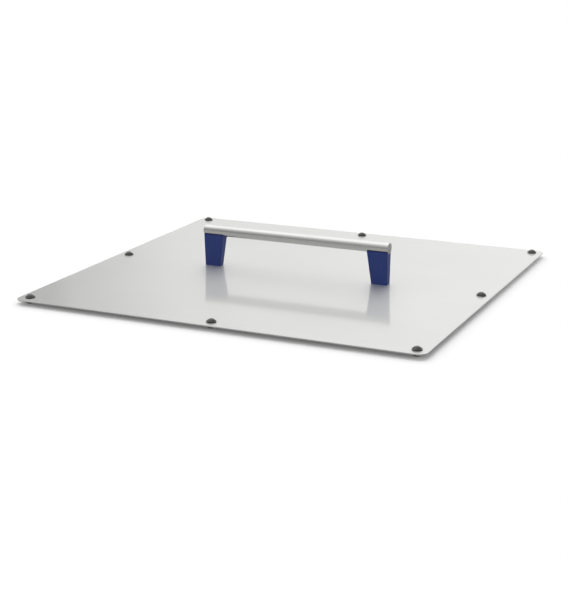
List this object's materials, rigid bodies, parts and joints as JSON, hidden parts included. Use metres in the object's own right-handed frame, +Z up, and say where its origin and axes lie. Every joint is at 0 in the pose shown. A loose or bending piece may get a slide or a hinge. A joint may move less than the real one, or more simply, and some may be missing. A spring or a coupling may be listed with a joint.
{
  "type": "cover plate with bar handle",
  "caption": "Flat rectangular steel cover plate with rounded corners, rubber bumpers near its edge and a round bar handle on two blue moulded legs.",
  "frame": {"origin": "under the middle of the plate, on the surface that the bumpers' feet stand on", "axes": "+X along the front edge and the handle bar to the right, +Y to the back edge, +Z up"},
  "size_m": [0.6, 0.56, 0.0684],
  "materials": {
    "plate_steel": "fine satin, faintly blurred reflections",
    "bar_steel": "turned satin, brighter than the plate",
    "leg_plastic": "dark blue moulded plastic, fine spark-eroded grain",
    "bumper_rubber": "black rubber, soft sheen",
    "fastener_steel": "plain stainless fasteners"
  },
  "bodies": {
    "root": {"cover_plate": "plate_steel", "handle_bar": "bar_steel", "end_plug_left": "bar_steel", "handle_leg_left": "leg_plastic", "handle_washer_left": "fastener_steel", "handle_screw_left": "fastener_steel", "end_plug_right": "bar_steel", "handle_leg_right": "leg_plastic", "handle_washer_right": "fastener_steel", "handle_screw_right": "fastener_steel", "bumper_front_left": "bumper_rubber", "bumper_front_middle": "bumper_rubber", "bumper_front_right": "bumper_rubber", "bumper_middle_left": "bumper_rubber", "bumper_middle_right": "bumper_rubber", "bumper_back_left": "bumper_rubber", "bumper_back_middle": "bumper_rubber", "bumper_back_right": "bumper_rubber"}
  },
  "joints": []
}
